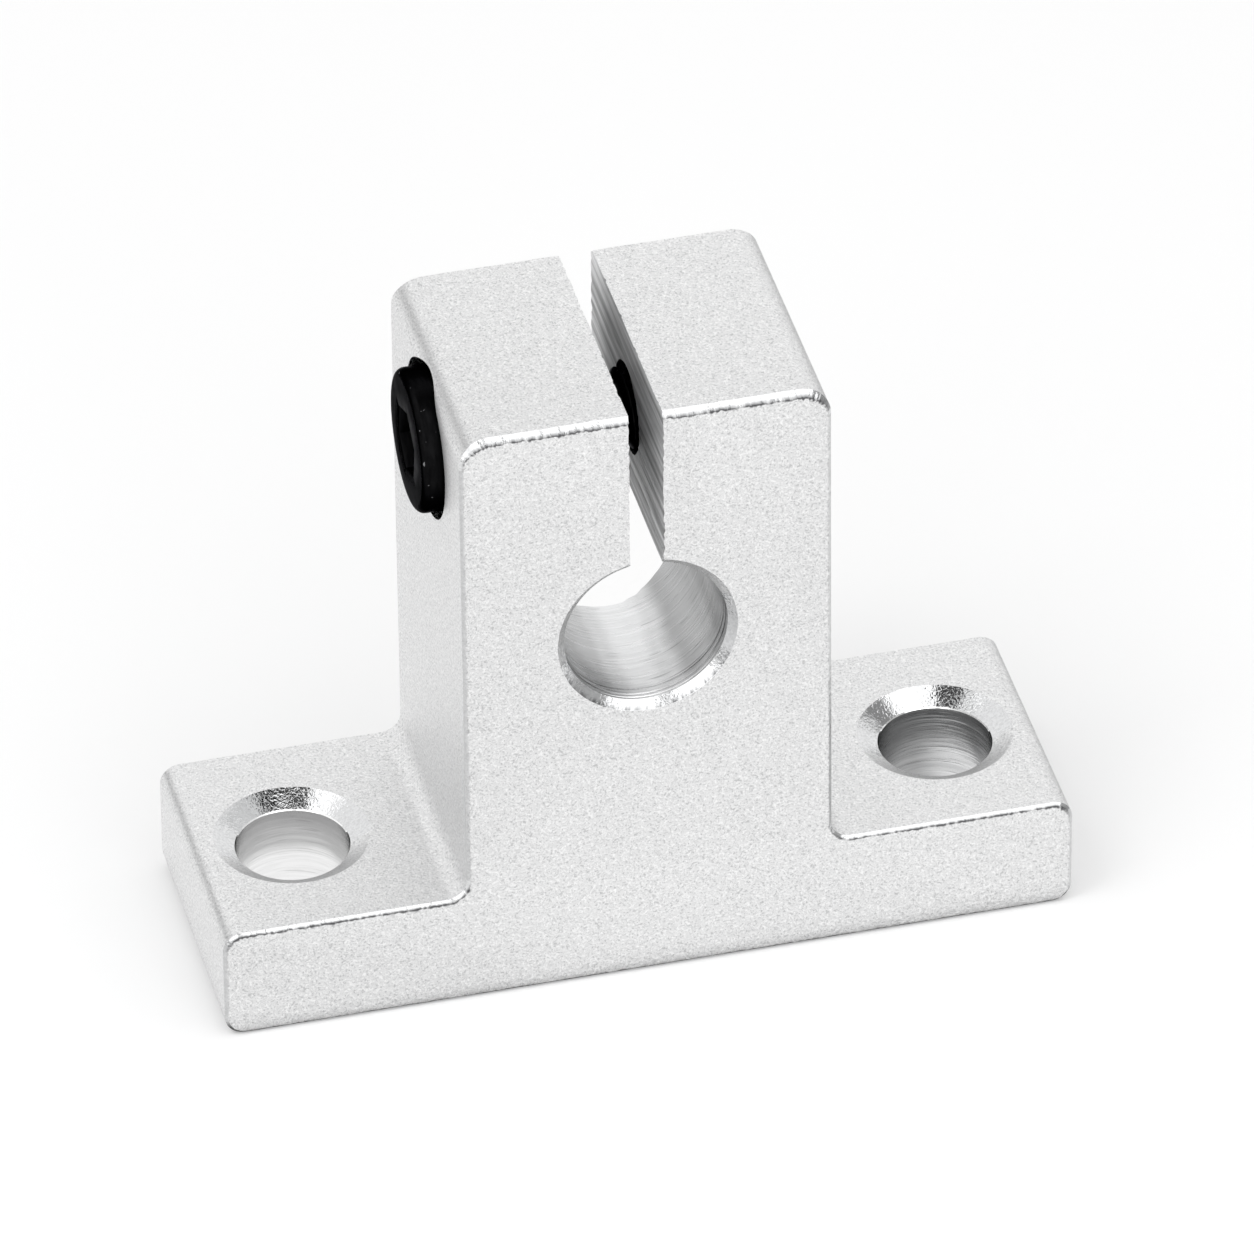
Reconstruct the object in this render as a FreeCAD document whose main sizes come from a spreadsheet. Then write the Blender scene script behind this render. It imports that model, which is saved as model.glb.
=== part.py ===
import FreeCAD, Part
import math
import os
import Sketcher

# Shaft support block: an aluminium block that clamps an 8 mm guide shaft, with its clamp screw.
# The base rests on the plane z = 0, centred on the origin. X runs along the feet, Y along the shaft.
# All lengths are in millimetres, all angles in degrees.

SIZES = (
    # The block's outline, seen along the shaft
    ("base_length", 42.0, "length of the base over both feet"),
    ("block_depth", 14.0, "depth of the whole block along the shaft"),
    ("foot_height", 6.0, "height of the feet"),
    ("block_width", 18.0, "width of the upright part over both jaws"),
    ("shaft_height", 20.0, "height of the shaft's centre line"),
    ("top_rise", 12.8, "from the shaft's centre line up to the top"),
    ("top_corner", 1.5, "radius of the two upper corners"),
    ("foot_corner", 1.0, "radius of the corners at the ends of the feet"),
    ("inner_corner", 1.0, "radius where the feet meet the upright part"),
    ("edge_break", 0.15, "chamfer along the outline on the front and back faces"),
    ("top_bevel", 0.3, "wider bevel along the front and back edges of the top"),
    # The bore and the saw slot
    ("shaft_diameter", 8.0, "bore for the shaft"),
    ("bore_chamfer", 0.4, "chamfer at both mouths of the bore"),
    ("slot_width", 1.65, "width of the saw slot between the jaws"),
    # The two holes in the feet
    ("bolt_spacing", 32.0, "distance between the two bolt holes"),
    ("bolt_hole", 5.5, "diameter of the bolt holes"),
    ("rim_diameter", 7.6, "diameter of the countersink at the top of the foot"),
    ("rim_angle", 120.0, "included angle of the countersink"),
    # The clamp screw and its hole
    ("screw_rise", 8.3, "from the shaft's centre line up to the screw's axis"),
    ("thread_diameter", 4.0, "outer diameter of the screw's thread"),
    ("thread_clearance", 0.05, "radial gap between the screw and the tapped hole"),
    ("thread_lead", 0.3, "countersink where the tapped hole leaves the far jaw"),
    ("shank_clearance", 0.25, "radial gap between the screw and the near jaw's hole"),
    ("screw_length", 12.0, "length of the screw below its head"),
    ("tip_chamfer", 0.4, "chamfer at the screw's tip"),
    ("head_diameter", 7.0, "diameter of the screw's head"),
    ("head_height", 4.0, "height of the screw's head"),
    ("head_rim", 0.4, "radius of the rounded rim of the head"),
    ("head_root", 0.2, "fillet under the head"),
    ("head_clearance", 0.4, "radial gap between the head and its counterbore"),
    ("head_stand_out", 0.95, "how far the head stands out of the block's left face"),
    ("socket_flats", 3.0, "width of the hexagon socket across its flats"),
    ("socket_depth", 2.0, "depth of the hexagon socket"),
    ("socket_turn", -8.0, "angle at which the socket stands when the screw is tight"),
    ("drill_margin", 0.1, "radial gap between the drilled hole and the socket's flats"),
    ("drill_angle", 120.0, "included angle of the drill's point below the socket"),
    # Every cut runs past the metal by this much
    ("overcut", 1.0, "how far each cut runs past the metal"),
)

document = FreeCAD.newDocument("shaft_support_block")
sheet = document.addObject("Spreadsheet::Sheet", "Sizes")
for row, (alias, value, meaning) in enumerate(SIZES, start=1):
    sheet.set(f"A{row}", meaning)
    sheet.set(f"B{row}", str(value))
    sheet.setAlias(f"B{row}", alias)
document.recompute()


def number(formula):
    """What a formula of the sheet's sizes comes to."""
    return float(sheet.evalExpression(formula))


def add_body(name):
    """A new sub-part, labelled as the piece that it stands for."""
    body = document.addObject("PartDesign::Body", name)
    body.Label = name
    return body


def add_sketch(body, name, plane):
    """A sketch flat on one of the body's own base planes."""
    sketch = body.newObject("Sketcher::SketchObject", name)
    base = next(part for part in body.Origin.OriginFeatures if part.Role == plane)
    sketch.AttachmentSupport = [(base, "")]
    sketch.MapMode = "FlatFace"
    return sketch


def place_point(sketch, geometry, point, x, y):
    """Ties a point of the sketch to the place that two formulas give."""
    for kind, formula, axis in (("DistanceX", x, -2), ("DistanceY", y, -1)):
        if formula == "0":
            sketch.addConstraint(Sketcher.Constraint("PointOnObject", geometry, point, axis))
        else:
            index = sketch.addConstraint(
                Sketcher.Constraint(kind, -1, 1, geometry, point, number(formula))
            )
            sketch.setExpression(f"Constraints[{index}]", formula)


def draw_outline(sketch, corners):
    """A closed outline of straight lines through corners given as pairs of formulas."""
    points = [FreeCAD.Vector(number(x), number(y), 0) for x, y in corners]
    first = sketch.GeometryCount
    for start, end in zip(points, points[1:] + points[:1]):
        sketch.addGeometry(Part.LineSegment(start, end), False)
    for index, (x, y) in enumerate(corners):
        before = (index - 1) % len(corners)
        sketch.addConstraint(Sketcher.Constraint("Coincident", first + before, 2, first + index, 1))
        place_point(sketch, first + index, 1, x, y)


def draw_circle(sketch, x, y, diameter):
    """A circle whose centre and diameter are formulas."""
    centre = FreeCAD.Vector(number(x), number(y), 0)
    width = number(diameter)
    circle = sketch.addGeometry(Part.Circle(centre, FreeCAD.Vector(0, 0, 1), width / 2), False)
    place_point(sketch, circle, 3, x, y)
    index = sketch.addConstraint(Sketcher.Constraint("Diameter", circle, width))
    sketch.setExpression(f"Constraints[{index}]", diameter)


def cut_through(body, name, sketch):
    """A cut of the sketch's outline through the whole body, both ways."""
    cut = body.newObject("PartDesign::Pocket", name)
    cut.Profile = sketch
    cut.Type = "ThroughAll"
    cut.SideType = "Symmetric"
    document.recompute()
    return cut


def turn_about(body, kind, name, sketch, axis):
    """A full turn of the sketch's outline about one of its own axes, added or cut away."""
    feature = body.newObject(f"PartDesign::{kind}", name)
    feature.Profile = sketch
    feature.ReferenceAxis = (sketch, [axis])
    feature.Angle = 360
    document.recompute()
    return feature


def edges_where(shape, test):
    """The names of a shape's edges that pass a test."""
    return [f"Edge{index}" for index, edge in enumerate(shape.Edges, start=1) if test(edge)]


def dress_edges(body, kind, name, test, property_name, formula):
    """A fillet or a chamfer on every edge of the body so far that passes a test."""
    base = body.Tip
    feature = body.newObject(f"PartDesign::{kind}", name)
    feature.Base = (base, edges_where(base.Shape, test))
    feature.setExpression(property_name, formula)
    document.recompute()
    return feature


def lies_at(value, place):
    """True where two lengths are the same."""
    return math.isclose(value, place, abs_tol=1e-4)


def runs_along_depth(edge, x, z):
    """True for a straight edge along Y at a distance x from the middle and at a height z."""
    ends = [vertex.Point for vertex in edge.Vertexes]
    return len(ends) == 2 and all(
        lies_at(abs(end.x), x) and lies_at(end.z, z) for end in ends
    ) and not lies_at(ends[0].y, ends[1].y)


def is_circle(edge, radius, axis_point):
    """True for a round edge of this radius about this centre."""
    curve = edge.Curve
    return (
        isinstance(curve, Part.Circle)
        and lies_at(curve.Radius, radius)
        and curve.Center.distanceToPoint(axis_point) < 1e-4
    )


# Support block: the outline is an inverted T, extruded along the shaft
block = add_body("support_block")
outline = add_sketch(block, "block_outline", "XZ_Plane")
half_base = "Sizes.base_length / 2"
half_width = "Sizes.block_width / 2"
top = "Sizes.shaft_height + Sizes.top_rise"
foot_top = "Sizes.foot_height"
draw_outline(
    outline,
    (
        (f"-{half_base}", "0"),
        (half_base, "0"),
        (half_base, foot_top),
        (half_width, foot_top),
        (half_width, top),
        (f"-{half_width}", top),
        (f"-{half_width}", foot_top),
        (f"-{half_base}", foot_top),
    ),
)
extrusion = block.newObject("PartDesign::Pad", "block_extrusion")
extrusion.Profile = outline
extrusion.SideType = "Symmetric"
extrusion.setExpression("Length", "Sizes.block_depth")
document.recompute()

# Its corners: the upper ones, the four at the ends of the feet and the two beside the upright part
for name, radius, places in (
    ("upper_corners", "Sizes.top_corner", ((half_width, top),)),
    ("foot_corners", "Sizes.foot_corner", ((half_base, "0"), (half_base, foot_top))),
    ("inner_corners", "Sizes.inner_corner", ((half_width, foot_top),)),
):
    spots = [(number(x), number(z)) for x, z in places]
    dress_edges(
        block,
        "Fillet",
        name,
        lambda edge: any(runs_along_depth(edge, x, z) for x, z in spots),
        "Radius",
        radius,
    )

# The sharp outline is broken all round the front and the back face
half_depth = number("Sizes.block_depth / 2")
dress_edges(
    block,
    "Chamfer",
    "broken_outline",
    lambda edge: all(lies_at(abs(vertex.Y), half_depth) for vertex in edge.Vertexes)
    and lies_at(edge.Vertexes[0].Y, edge.Vertexes[-1].Y),
    "Size",
    "Sizes.edge_break",
)

# The top's front and back edges have a wider bevel, which runs out in the rounded corners
bevel = add_sketch(block, "top_bevel_outline", "YZ_Plane")
edge_y = "(Sizes.block_depth / 2 + Sizes.overcut)"
inner_y = "(Sizes.block_depth / 2 - Sizes.top_bevel - Sizes.overcut)"
for side in ("", "-"):
    draw_outline(
        bevel,
        (
            (f"{side}{edge_y}", f"{top} - Sizes.top_bevel - Sizes.overcut"),
            (f"{side}{edge_y}", f"{top} + Sizes.overcut"),
            (f"{side}{inner_y}", f"{top} + Sizes.overcut"),
        ),
    )
cut_through(block, "top_bevels", bevel)

# The bore for the shaft, with a chamfer at both mouths
bore_outline = add_sketch(block, "bore_outline", "XZ_Plane")
draw_circle(bore_outline, "0", "Sizes.shaft_height", "Sizes.shaft_diameter")
cut_through(block, "shaft_bore", bore_outline)
bore_radius = number("Sizes.shaft_diameter / 2")
shaft_height = number("Sizes.shaft_height")
mouths = [FreeCAD.Vector(0, y, shaft_height) for y in (-half_depth, half_depth)]
dress_edges(
    block,
    "Chamfer",
    "bore_mouths",
    lambda edge: any(is_circle(edge, bore_radius, mouth) for mouth in mouths),
    "Size",
    "Sizes.bore_chamfer",
)

# The saw slot from the bore up through the top parts the block into two jaws
slot_outline = add_sketch(block, "slot_outline", "XZ_Plane")
half_slot = "Sizes.slot_width / 2"
above_top = f"{top} + Sizes.overcut"
draw_outline(
    slot_outline,
    (
        (f"-{half_slot}", "Sizes.shaft_height"),
        (half_slot, "Sizes.shaft_height"),
        (half_slot, above_top),
        (f"-{half_slot}", above_top),
    ),
)
cut_through(block, "saw_slot", slot_outline)

# One countersunk hole through each foot
bolt_centres = add_sketch(block, "bolt_centres", "XY_Plane")
bolt_centres.setExpression("AttachmentOffset.Base.z", foot_top)
for side in ("-", ""):
    draw_circle(bolt_centres, f"{side}Sizes.bolt_spacing / 2", "0", "Sizes.bolt_hole")
document.recompute()
bolt_holes = block.newObject("PartDesign::Hole", "bolt_holes")
bolt_holes.Profile = bolt_centres
bolt_holes.DepthType = "ThroughAll"
bolt_holes.setExpression("Diameter", "Sizes.bolt_hole")
bolt_holes.HoleCutType = "Countersink"
bolt_holes.setExpression("HoleCutDiameter", "Sizes.rim_diameter")
bolt_holes.setExpression("HoleCutCountersinkAngle", "Sizes.rim_angle")
document.recompute()

# The screw's hole crosses both jaws: a counterbore for the head and a plain hole in the near jaw,
# and a tapped hole right through the far one, drawn as half a section above the screw's axis
screw_height = "Sizes.shaft_height + Sizes.screw_rise"
seat = "Sizes.head_height - Sizes.head_stand_out - Sizes.block_width / 2"
head_hole = "Sizes.head_diameter / 2 + Sizes.head_clearance"
shank_hole = "Sizes.thread_diameter / 2 + Sizes.shank_clearance"
tapped_hole = "Sizes.thread_diameter / 2 + Sizes.thread_clearance"
outside_left = f"-{half_width} - Sizes.overcut"
outside_right = f"{half_width} + Sizes.overcut"
screw_section = add_sketch(block, "screw_hole_section", "XZ_Plane")
screw_section.setExpression("AttachmentOffset.Base.y", screw_height)
draw_outline(
    screw_section,
    (
        (outside_left, "0"),
        (outside_left, head_hole),
        (seat, head_hole),
        (seat, shank_hole),
        ("0", shank_hole),
        ("0", tapped_hole),
        (f"{half_width} - Sizes.thread_lead", tapped_hole),
        (outside_right, f"{tapped_hole} + Sizes.thread_lead + Sizes.overcut"),
        (outside_right, "0"),
    ),
)
turn_about(block, "Groove", "screw_hole", screw_section, "H_Axis")

# Clamp screw: turned about its own upright axis, with the underside of its head at its origin
screw = add_body("clamp_screw")
screw_radius = "Sizes.thread_diameter / 2"
head_radius = "Sizes.head_diameter / 2"
turned_section = add_sketch(screw, "turned_section", "XZ_Plane")
draw_outline(
    turned_section,
    (
        ("0", "-Sizes.screw_length"),
        (f"{screw_radius} - Sizes.tip_chamfer", "-Sizes.screw_length"),
        (screw_radius, "Sizes.tip_chamfer - Sizes.screw_length"),
        (screw_radius, "0"),
        (head_radius, "0"),
        (head_radius, "Sizes.head_height"),
        ("0", "Sizes.head_height"),
    ),
)
turn_about(screw, "Revolution", "turned_blank", turned_section, "V_Axis")
for name, radius, width, height in (
    ("head_rim", "Sizes.head_rim", head_radius, "Sizes.head_height"),
    ("head_root", "Sizes.head_root", screw_radius, "0"),
):
    centre = FreeCAD.Vector(0, 0, number(height))
    round_radius = number(width)
    dress_edges(
        screw,
        "Fillet",
        name,
        lambda edge: is_circle(edge, round_radius, centre),
        "Radius",
        radius,
    )

# The socket is a hexagon pressed into a drilled hole, whose point is left below it
socket_outline = add_sketch(screw, "socket_outline", "XY_Plane")
socket_outline.setExpression("AttachmentOffset.Base.z", "Sizes.head_height")
socket_outline.setExpression("AttachmentOffset.Rotation.Angle", "Sizes.socket_turn")
corner_radius = number("Sizes.socket_flats / sqrt(3)")
corner_circle = socket_outline.addGeometry(
    Part.Circle(FreeCAD.Vector(0, 0, 0), FreeCAD.Vector(0, 0, 1), corner_radius), True
)
socket_outline.addConstraint(Sketcher.Constraint("Coincident", corner_circle, 3, -1, 1))
radius_index = socket_outline.addConstraint(
    Sketcher.Constraint("Radius", corner_circle, corner_radius)
)
socket_outline.setExpression(f"Constraints[{radius_index}]", "Sizes.socket_flats / sqrt(3)")
corners = [
    FreeCAD.Vector(
        corner_radius * math.cos(math.radians(60 * turn)),
        corner_radius * math.sin(math.radians(60 * turn)),
        0,
    )
    for turn in range(6)
]
sides = [
    socket_outline.addGeometry(Part.LineSegment(corners[turn - 1], corners[turn]), False)
    for turn in range(6)
]
for turn, side in enumerate(sides):
    before = sides[turn - 1]
    socket_outline.addConstraint(Sketcher.Constraint("Coincident", before, 2, side, 1))
    socket_outline.addConstraint(Sketcher.Constraint("PointOnObject", side, 2, corner_circle))
    if turn > 0:
        socket_outline.addConstraint(Sketcher.Constraint("Equal", before, side))
socket_outline.addConstraint(Sketcher.Constraint("PointOnObject", sides[0], 2, -1))
socket = screw.newObject("PartDesign::Pocket", "hexagon_socket")
socket.Profile = socket_outline
socket.Type = "Length"
socket.setExpression("Length", "Sizes.socket_depth")
document.recompute()

socket_bottom = "Sizes.head_height - Sizes.socket_depth"
drill_radius = "(Sizes.socket_flats / 2 - Sizes.drill_margin)"
drill_section = add_sketch(screw, "drill_section", "XZ_Plane")
draw_outline(
    drill_section,
    (
        ("0", f"{socket_bottom} - {drill_radius} / tan(Sizes.drill_angle / 2 * 1 deg)"),
        (drill_radius, socket_bottom),
        (drill_radius, f"{socket_bottom} + Sizes.socket_depth / 2"),
        ("0", f"{socket_bottom} + Sizes.socket_depth / 2"),
    ),
)
turn_about(screw, "Groove", "drill_point", drill_section, "V_Axis")

# The screw lies along X with its head outside the left face, seated in the counterbore
screw.Placement.Rotation = FreeCAD.Rotation(FreeCAD.Vector(0, 1, 0), -90)
screw.setExpression("Placement.Base.x", seat)
screw.setExpression("Placement.Base.z", screw_height)
document.recompute()

# Each piece is checked, then written to its own file
for item in document.Objects:
    if "Invalid" in item.State or "Error" in item.State:
        raise RuntimeError(f"{item.Name} could not be built: {item.State}")
os.makedirs("parts", exist_ok=True)
for body in (block, screw):
    shape = body.Shape
    if shape.isNull() or not shape.isValid() or len(shape.Solids) != 1:
        raise RuntimeError(f"{body.Label} is not one valid solid")
    shape.exportStep(f"parts/{body.Label}.step")
    print(body.Label, round(shape.Volume, 2), shape.BoundBox)
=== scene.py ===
import math

import bmesh
import bpy
import numpy as np
from mathutils import Matrix, Vector


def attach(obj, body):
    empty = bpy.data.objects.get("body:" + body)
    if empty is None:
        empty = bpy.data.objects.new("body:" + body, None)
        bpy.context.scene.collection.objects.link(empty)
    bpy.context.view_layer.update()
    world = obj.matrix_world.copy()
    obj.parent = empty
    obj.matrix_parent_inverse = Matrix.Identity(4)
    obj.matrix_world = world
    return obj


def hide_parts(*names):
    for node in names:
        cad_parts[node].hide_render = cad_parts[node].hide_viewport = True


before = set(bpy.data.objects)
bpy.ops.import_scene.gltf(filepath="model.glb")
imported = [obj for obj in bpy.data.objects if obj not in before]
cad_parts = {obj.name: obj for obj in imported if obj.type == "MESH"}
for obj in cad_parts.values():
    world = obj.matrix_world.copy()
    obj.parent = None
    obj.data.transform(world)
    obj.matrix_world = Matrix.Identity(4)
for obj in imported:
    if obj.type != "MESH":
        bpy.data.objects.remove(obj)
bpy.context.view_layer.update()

# The finishes of the block's outside, on bare aluminium. The flats are blasted to an even silver
# grain, and the bevels are bright cuts with tiny facets. Both are darker with painted shade, and
# with dirt in the bore's rim.
MM = 0.001


def put(tree, kind, values=None, **options):
    """Adds a node, sets its options, and sets or links its inputs."""
    made = tree.nodes.new(kind)
    for option, choice in options.items():
        setattr(made, option, choice)
    for key, value in (values or {}).items():
        if isinstance(value, bpy.types.NodeSocket):
            tree.links.new(value, made.inputs[key])
        else:
            made.inputs[key].default_value = value
    return made


def maths(tree, operation, *values):
    return put(tree, "ShaderNodeMath", dict(enumerate(values)), operation=operation).outputs[0]


def sum_of(tree, first, second):
    return maths(tree, "ADD", first, second)


def product_of(tree, first, second):
    return maths(tree, "MULTIPLY", first, second)


def stretch(tree, value, low, high, to_low=0.0, to_high=1.0):
    """Maps a range of a value to another, held at both ends."""
    sizes = {"Value": value, "From Min": low, "From Max": high, "To Min": to_low, "To Max": to_high}
    return put(tree, "ShaderNodeMapRange", sizes, clamp=True).outputs["Result"]


def start_effect(name, inputs, outputs):
    """An empty shader group with named inputs and outputs, and its two end nodes."""
    group = bpy.data.node_groups.new(name, "ShaderNodeTree")
    for label, kind, value in inputs:
        socket = group.interface.new_socket(name=label, in_out="INPUT", socket_type=kind)
        if value is not None:
            socket.default_value = value
    for label in outputs:
        group.interface.new_socket(name=label, in_out="OUTPUT", socket_type="NodeSocketFloat")
    return group, group.nodes.new("NodeGroupInput").outputs, group.nodes.new("NodeGroupOutput").inputs


def noise(tree, place, scale, detail, roughness=0.5, distortion=0.0):
    """A soft random pattern, finer with a larger scale."""
    values = {
        "Vector": place,
        "Scale": scale,
        "Detail": detail,
        "Roughness": roughness,
        "Distortion": distortion,
    }
    return put(tree, "ShaderNodeTexNoise", values).outputs["Fac"]


# Blast grain: fine worm-like ridges, each with a painted highlight on one side and painted shade on
# the other, with pits and painted glints between them
blast_grain, given, result = start_effect(
    "blast_grain",
    [("Place", "NodeSocketVector", None), ("Grains per mm", "NodeSocketFloat", 4.0)],
    ["Tone", "Height"],
)


def ridges(place):
    """The pattern that the ridges follow, and how near a ridge is, 1 along it."""
    level = noise(blast_grain, place, given["Grains per mm"], 1.0, 0.5, 0.9)
    away = maths(blast_grain, "ABSOLUTE", maths(blast_grain, "SUBTRACT", level, 0.5))
    return level, stretch(blast_grain, away, 0.06, 0.0)


# The painted highlight follows each ridge, and the painted shade follows a copy of it shifted aside
shade_shift = (0.05, 0.05, 0.06)
beside = put(blast_grain, "ShaderNodeVectorMath", {0: given["Place"], 1: shade_shift}).outputs[0]
level, lit = ridges(given["Place"])
painted_shade_side = ridges(beside)[1]
coarse = noise(blast_grain, given["Place"], product_of(blast_grain, given["Grains per mm"], 0.5), 1.0)
fine = noise(blast_grain, given["Place"], product_of(blast_grain, given["Grains per mm"], 2.2), 0.0)
# Painted glints: bright specks in the colour, with dark pits beside them
painted_glints = stretch(blast_grain, fine, 0.68, 0.78)
pits = stretch(blast_grain, fine, 0.32, 0.22)
tone = sum_of(blast_grain, product_of(blast_grain, coarse, 0.04), 0.55)
for part, weight in ((lit, 0.38), (painted_shade_side, -0.42), (painted_glints, 0.62), (pits, -0.68)):
    tone = sum_of(blast_grain, tone, product_of(blast_grain, part, weight))
blast_grain.links.new(tone, result["Tone"])
height = sum_of(blast_grain, product_of(blast_grain, level, 0.7), product_of(blast_grain, coarse, 0.2))
blast_grain.links.new(height, result["Height"])

# Bright speckle: tiny facets left by a cutter, each at its own slant
bright_speckle, given, result = start_effect(
    "bright_speckle",
    [("Place", "NodeSocketVector", None), ("Specks per mm", "NodeSocketFloat", 7.0)],
    ["Tone", "Height"],
)
facets = noise(bright_speckle, given["Place"], given["Specks per mm"], 1.0, 0.6, 0.6)
swell = noise(bright_speckle, given["Place"], product_of(bright_speckle, given["Specks per mm"], 0.2), 0.0)
bright_speckle.links.new(facets, result["Tone"])
bright_speckle.links.new(sum_of(bright_speckle, facets, swell), result["Height"])


def start_material(name, roughness):
    """A bare metal with its shader, and Object coordinates in millimetres."""
    made = bpy.data.materials.new(name)
    made.use_nodes = True
    tree = made.node_tree
    shader = tree.nodes["Principled BSDF"]
    shader.inputs["Metallic"].default_value = 1.0
    shader.inputs["Roughness"].default_value = roughness
    here = put(tree, "ShaderNodeTexCoord").outputs["Object"]
    in_mm = put(tree, "ShaderNodeMapping", {"Vector": here, "Scale": (1 / MM, 1 / MM, 1 / MM)}).outputs[0]
    return made, tree, shader, in_mm


def use_effect(tree, group, values):
    return put(tree, "ShaderNodeGroup", values, node_tree=group).outputs


def blend_colour(tree, share, low, high):
    """A colour between two others, each given or worked out."""
    values = {0: share}
    for key, value in ((6, low), (7, high)):
        values[key] = value if isinstance(value, bpy.types.NodeSocket) else (*value, 1.0)
    return put(tree, "ShaderNodeMix", values, data_type="RGBA").outputs[2]


def colour_and_darkening(tree, shader, colour):
    """Gives the shader a colour, darker with painted shade and with dirt in the bore's rim, as the
    attribute says.
    """
    darkening = put(tree, "ShaderNodeAttribute", attribute_name="shade_and_dirt").outputs["Fac"]
    shade_and_dirt_colour = blend_colour(tree, darkening, colour, (0.12, 0.12, 0.125))
    tree.links.new(shade_and_dirt_colour, shader.inputs["Base Color"])


def raise_surface(tree, shader, height, depth_mm):
    bump = put(tree, "ShaderNodeBump", {"Height": height, "Distance": depth_mm * MM, "Strength": 1.0})
    tree.links.new(bump.outputs["Normal"], shader.inputs["Normal"])


blasted, tree, shader, in_mm = start_material("blasted_aluminium", 0.5)
grain = use_effect(tree, blast_grain, {"Place": in_mm, "Grains per mm": 4.0})
silver = blend_colour(tree, grain["Tone"], (0.59, 0.593, 0.596), (0.94, 0.94, 0.94))
colour_and_darkening(tree, shader, silver)
tree.links.new(stretch(tree, grain["Tone"], 0.1, 0.9, 0.58, 0.42), shader.inputs["Roughness"])
raise_surface(tree, shader, grain["Height"], 0.038)

bright, tree, shader, in_mm = start_material("bright_cut", 0.14)
specks = use_effect(tree, bright_speckle, {"Place": in_mm, "Specks per mm": 7.0})
share = stretch(tree, specks["Tone"], 0.35, 0.65)
silver = blend_colour(tree, share, (0.68, 0.685, 0.69), (0.78, 0.785, 0.79))
colour_and_darkening(tree, shader, silver)
tree.links.new(stretch(tree, specks["Tone"], 0.3, 0.7, 0.13, 0.07), shader.inputs["Roughness"])
raise_surface(tree, shader, specks["Height"], 0.015)

# The blank of the block: aluminium, extruded as an inverted T with small round corners and cut to
# depth. A bevel breaks its outline on the front and the back face. It is wider along the top and
# part of the way round the two top corners, and a thin dark burr lies beside it.
half_base, half_depth, foot_top = 21.0, 7.0, 6.0
half_width, block_top = 9.0, 32.8
foot_corner, inner_corner, top_corner = 1.0, 1.0, 1.5
edge_break, top_bevel = 0.15, 0.30
outline_step = 0.05
burr_width, burr_depth = 0.10, 0.015
rng = np.random.default_rng(42)


def trace(runs, spacing):
    """Points along an outline, each with the direction that points out of the metal."""
    points = []
    for run in runs:
        if len(run) == 2:
            (x0, z0), (x1, z1) = run
            length = math.dist(*run)
            count = max(1, round(length / spacing))
            for k in range(count):
                x = x0 + (x1 - x0) * k / count
                z = z0 + (z1 - z0) * k / count
                points.append((x, z, (z1 - z0) / length, (x0 - x1) / length))
        else:
            (cx, cz), radius, begin, end = run
            count = max(12, round(abs(math.radians(end - begin)) * radius / spacing))
            side = 1.0 if end > begin else -1.0
            for k in range(count):
                angle = math.radians(begin + (end - begin) * k / count)
                across, up = math.cos(angle), math.sin(angle)
                points.append((cx + radius * across, cz + radius * up, side * across, side * up))
    return np.array(points)


def ragged(count, width):
    """Random numbers round a closed ring, each like its neighbours, about 1 in size."""
    rough = rng.normal(size=count)
    for _ in range(width):
        rough = (np.roll(rough, 1) + rough + np.roll(rough, -1)) / 3
    return rough / rough.std()


def skin(name, rows, finishes, strip_finish=None):
    """A closed mesh in metres: rows of points in millimetres, each joined to the next."""
    count = max(len(row) for row in rows)
    starts = np.cumsum([0] + [len(row) for row in rows])
    faces, indexes = [], []
    for k, (low, high) in enumerate(zip(rows, rows[1:])):
        for j in range(count):
            here, there = j, (j + 1) % count
            a, b = starts[k] + here, starts[k] + there
            c, d = starts[k + 1] + there, starts[k + 1] + here
            if len(low) == 1:
                faces.append((starts[k], c, d))
            elif len(high) == 1:
                faces.append((a, b, starts[k + 1]))
            else:
                faces.append((a, b, c, d))
            indexes.append(strip_finish[k] if strip_finish else 0)
    for k, row in ((0, rows[0]), (len(rows) - 1, rows[-1])):
        if len(row) > 1:
            faces.append(tuple(int(starts[k] + j) for j in range(count)))
            indexes.append(0)
    mesh = bpy.data.meshes.new(name)
    mesh.from_pydata((np.vstack(rows) * MM).tolist(), [], [tuple(map(int, face)) for face in faces])
    for finish in finishes:
        mesh.materials.append(finish)
    mesh.polygons.foreach_set("material_index", indexes)
    work = bmesh.new()
    work.from_mesh(mesh)
    bmesh.ops.recalc_face_normals(work, faces=work.faces)
    work.to_mesh(mesh)
    work.free()
    made = bpy.data.objects.new(name, mesh)
    bpy.context.scene.collection.objects.link(made)
    return made


right_half = trace(
    [
        ((0.0, 0.0), (half_base - foot_corner, 0.0)),
        ((half_base - foot_corner, foot_corner), foot_corner, -90, 0),
        ((half_base, foot_corner), (half_base, foot_top - foot_corner)),
        ((half_base - foot_corner, foot_top - foot_corner), foot_corner, 0, 90),
        ((half_base - foot_corner, foot_top), (half_width + inner_corner, foot_top)),
        ((half_width + inner_corner, foot_top + inner_corner), inner_corner, 270, 180),
        ((half_width, foot_top + inner_corner), (half_width, block_top - top_corner)),
        ((half_width - top_corner, block_top - top_corner), top_corner, 0, 90),
        ((half_width - top_corner, block_top), (0.0, block_top)),
    ],
    outline_step,
)
left_half = np.vstack(([0.0, block_top, 0.0, 1.0], (right_half[1:] * (-1, 1, -1, 1))[::-1]))
x, z, out_x, out_z = np.vstack((right_half, left_half)).T
ring_count = len(x)
along_top = np.clip(2.2 * out_z - 0.75, 0, 1) * (z > block_top - top_corner)
bevel = edge_break + (top_bevel - edge_break) * along_top


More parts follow.
